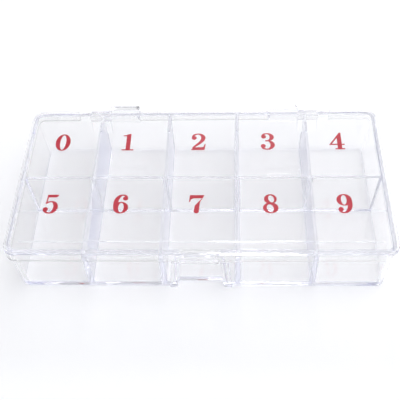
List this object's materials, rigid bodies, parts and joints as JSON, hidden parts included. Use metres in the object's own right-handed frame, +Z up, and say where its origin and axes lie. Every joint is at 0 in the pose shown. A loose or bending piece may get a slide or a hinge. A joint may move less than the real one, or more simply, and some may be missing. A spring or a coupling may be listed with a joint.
{
  "type": "parts sorting tray",
  "caption": "Clear box of small compartments in two rows under one hinged lid, with a printed figure over each compartment.",
  "frame": {"origin": "middle of the tray's flat underside, half way along its length and depth", "axes": "+X along the long side, +Y towards the hinge side, +Z up"},
  "size_m": [0.157, 0.083, 0.0262],
  "materials": {
    "tray_polystyrene": "clear polystyrene, moulded glossy",
    "lid_polystyrene": "clear polystyrene, moulded glossy",
    "red_ink": "screen-printed ink, satin"
  },
  "bodies": {
    "base": {"tray": "tray_polystyrene"},
    "cover": {"lid": "lid_polystyrene", "numeral_0": "red_ink", "numeral_1": "red_ink", "numeral_2": "red_ink", "numeral_3": "red_ink", "numeral_4": "red_ink", "numeral_5": "red_ink", "numeral_6": "red_ink", "numeral_7": "red_ink", "numeral_8": "red_ink", "numeral_9": "red_ink"}
  },
  "joints": [
    {"name": "lid_hinge", "type": "hinge", "parent": "base", "child": "cover", "pos_m": [0, 0.041, 0.0207], "axis": [-1, 0, 0], "range_deg": [0, 180]}
  ]
}
